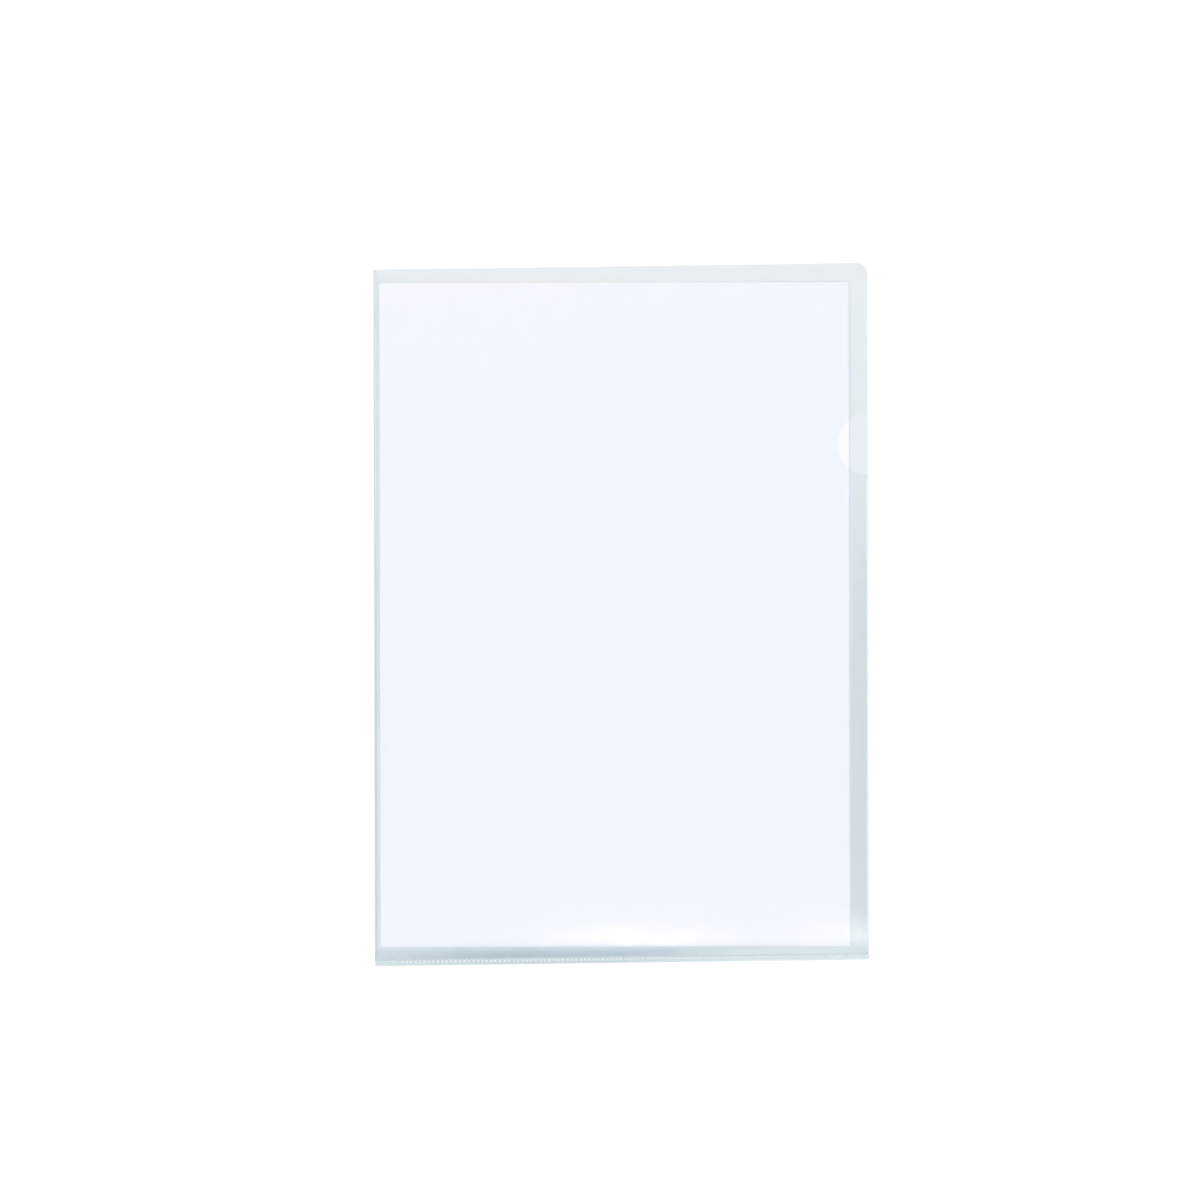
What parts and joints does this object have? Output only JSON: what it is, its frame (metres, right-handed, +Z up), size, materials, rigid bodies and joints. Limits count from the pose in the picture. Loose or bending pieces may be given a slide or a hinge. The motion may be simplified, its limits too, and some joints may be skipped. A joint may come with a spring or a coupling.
{
  "type": "clear l-folder",
  "caption": "Clear A4 document folder of thin plastic film, closed by a side fold and a bottom weld, open at top and side, with a thumb notch and a loose paper sheet inside.",
  "frame": {"origin": "under the middle of the rear leaf, on the surface that the folder lies on", "axes": "+X to the open side with the thumb notch, +Y to the open top, +Z up through the front leaf"},
  "size_m": [0.221, 0.314, 0.0009],
  "materials": {
    "film": "clear glossy polypropylene film with a faint cool tint",
    "weld": "fused polypropylene, knurled by the welding bar",
    "paper": "plain white uncoated office paper"
  },
  "bodies": {
    "pocket": {"rear_leaf": "film", "spine_fold": "film", "bottom_weld": "weld", "front_leaf": "film"},
    "front_corner": {"front_corner": "film"},
    "insert_sheet": {"insert_sheet": "paper"}
  },
  "joints": [
    {"name": "corner_lift", "type": "hinge", "parent": "pocket", "child": "front_corner", "pos_m": [-0.0965, 0.15465, 0.00077], "axis": [0.5781, -0.8159, 0], "range_deg": [0, 80], "stiffness_Nm_per_rad": 0.003},
    {"name": "sheet_pull", "type": "slide", "parent": "pocket", "child": "insert_sheet", "axis": [1, 0, 0], "range_m": [0, 0.19]}
  ]
}
